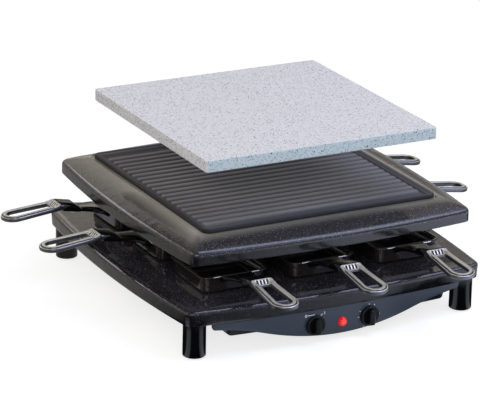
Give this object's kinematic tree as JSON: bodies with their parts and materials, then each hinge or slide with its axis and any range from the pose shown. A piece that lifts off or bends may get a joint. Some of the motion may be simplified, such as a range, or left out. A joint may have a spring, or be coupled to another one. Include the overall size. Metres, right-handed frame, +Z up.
{
  "type": "raclette grill",
  "caption": "Square tabletop raclette grill with a ridged plate, a lift-off stone slab above it, small pans with loop handles on the tray below, and a front control panel.",
  "frame": {"origin": "middle of the four foot pads, on the table", "axes": "+Z up; -Y towards the user, where the control panel is; +X to the user's right"},
  "size_m": [0.633, 0.6324, 0.2418],
  "materials": {
    "speckled_enamel": "glossy dark grey enamel with fine pale speckles",
    "black_enamel": "black enamel",
    "glossy_black_plastic": "polished black moulding",
    "rubber": "matt black rubber",
    "sheet_steel": "zinc-plated sheet and turned steel",
    "heater_sheath": "heat-darkened tube",
    "white_ceramic": "matt steatite",
    "black_plastic": "satin black moulding",
    "blue_grey_plastic": "satin blue-grey moulding",
    "red_lens": "clear red lamp dome",
    "wire_sleeve": "silicone sleeve",
    "cast_plate": "dark non-stick coating on cast aluminium",
    "granite": "honed pale grey granite with dark flecks",
    "non_stick_coating": "black non-stick coating on sheet steel",
    "gunmetal_paint": "satin gunmetal grey"
  },
  "bodies": {
    "base": {"base_shell": "speckled_enamel", "base_bottom_cover": "black_enamel", "leg_front_left": "glossy_black_plastic", "leg_front_right": "glossy_black_plastic", "leg_back_left": "glossy_black_plastic", "leg_back_right": "glossy_black_plastic", "foot_pad_front_left": "rubber", "foot_pad_front_right": "rubber", "foot_pad_back_left": "rubber", "foot_pad_back_right": "rubber", "center_column": "sheet_steel", "carrier_cross": "sheet_steel", "reflector_frame": "sheet_steel", "hood_shell": "speckled_enamel", "heating_element": "heater_sheath", "terminal_block": "white_ceramic", "terminal_bracket": "sheet_steel", "cord_gland": "black_plastic", "control_panel": "blue_grey_plastic", "control_housing": "blue_grey_plastic", "rotary_switch": "black_plastic", "thermostat": "sheet_steel", "lamp_lens": "red_lens", "lamp_holder": "black_plastic", "wire_live": "wire_sleeve", "wire_neutral": "wire_sleeve", "wire_element": "wire_sleeve", "wire_link": "wire_sleeve", "wire_lamp": "wire_sleeve"},
    "switch_knob": {"switch_knob": "black_plastic", "switch_shaft": "sheet_steel"},
    "thermostat_knob": {"thermostat_knob": "black_plastic", "thermostat_shaft": "sheet_steel"},
    "grill_plate": {"grill_plate": "cast_plate"},
    "stone_slab": {"stone_slab": "granite"},
    "pan_front_left": {"pan_front_left": "non_stick_coating", "pan_front_left_neck": "glossy_black_plastic", "pan_front_left_grip": "gunmetal_paint"},
    "pan_front_middle": {"pan_front_middle": "non_stick_coating", "pan_front_middle_neck": "glossy_black_plastic", "pan_front_middle_grip": "gunmetal_paint"},
    "pan_front_right": {"pan_front_right": "non_stick_coating", "pan_front_right_neck": "glossy_black_plastic", "pan_front_right_grip": "gunmetal_paint"},
    "pan_left_middle": {"pan_left_middle": "non_stick_coating", "pan_left_middle_neck": "glossy_black_plastic", "pan_left_middle_grip": "gunmetal_paint"},
    "pan_left_back": {"pan_left_back": "non_stick_coating", "pan_left_back_neck": "glossy_black_plastic", "pan_left_back_grip": "gunmetal_paint"},
    "pan_right_middle": {"pan_right_middle": "non_stick_coating", "pan_right_middle_neck": "glossy_black_plastic", "pan_right_middle_grip": "gunmetal_paint"},
    "pan_right_back": {"pan_right_back": "non_stick_coating", "pan_right_back_neck": "glossy_black_plastic", "pan_right_back_grip": "gunmetal_paint"},
    "pan_back_middle": {"pan_back_middle": "non_stick_coating", "pan_back_middle_neck": "glossy_black_plastic", "pan_back_middle_grip": "gunmetal_paint"}
  },
  "joints": [
    {"name": "switch_turn", "type": "hinge", "parent": "base", "child": "switch_knob", "pos_m": [-0.038, -0.2224, 0.025], "axis": [0, -1, 0], "range_deg": [-45, 45]},
    {"name": "thermostat_turn", "type": "hinge", "parent": "base", "child": "thermostat_knob", "pos_m": [0.04, -0.2224, 0.025], "axis": [0, -1, 0], "range_deg": [-150, 150]},
    {"name": "plate_lift", "type": "slide", "parent": "base", "child": "grill_plate", "axis": [0, 0, 1], "range_m": [0, 0.055]},
    {"name": "stone_lift", "type": "slide", "parent": "grill_plate", "child": "stone_slab", "axis": [0, 0, 1], "range_m": [-0.0738, 0]},
    {"name": "pan_front_left_slide", "type": "slide", "parent": "base", "child": "pan_front_left", "axis": [0, -0.9945, 0.1045], "range_m": [0, 0.15]},
    {"name": "pan_front_middle_slide", "type": "slide", "parent": "base", "child": "pan_front_middle", "axis": [0, -0.9945, 0.1045], "range_m": [0, 0.15]},
    {"name": "pan_front_right_slide", "type": "slide", "parent": "base", "child": "pan_front_right", "axis": [0, -0.9945, 0.1045], "range_m": [0, 0.15]},
    {"name": "pan_left_middle_slide", "type": "slide", "parent": "base", "child": "pan_left_middle", "axis": [-0.9945, 0, 0.1045], "range_m": [0, 0.15]},
    {"name": "pan_left_back_slide", "type": "slide", "parent": "base", "child": "pan_left_back", "axis": [-0.9945, 0, 0.1045], "range_m": [0, 0.15]},
    {"name": "pan_right_middle_slide", "type": "slide", "parent": "base", "child": "pan_right_middle", "axis": [0.9945, 0, 0.1045], "range_m": [0, 0.15]},
    {"name": "pan_right_back_slide", "type": "slide", "parent": "base", "child": "pan_right_back", "axis": [0.9945, 0, 0.1045], "range_m": [0, 0.15]},
    {"name": "pan_back_middle_slide", "type": "slide", "parent": "base", "child": "pan_back_middle", "axis": [0, 0.9945, 0.1045], "range_m": [0, 0.15]}
  ]
}
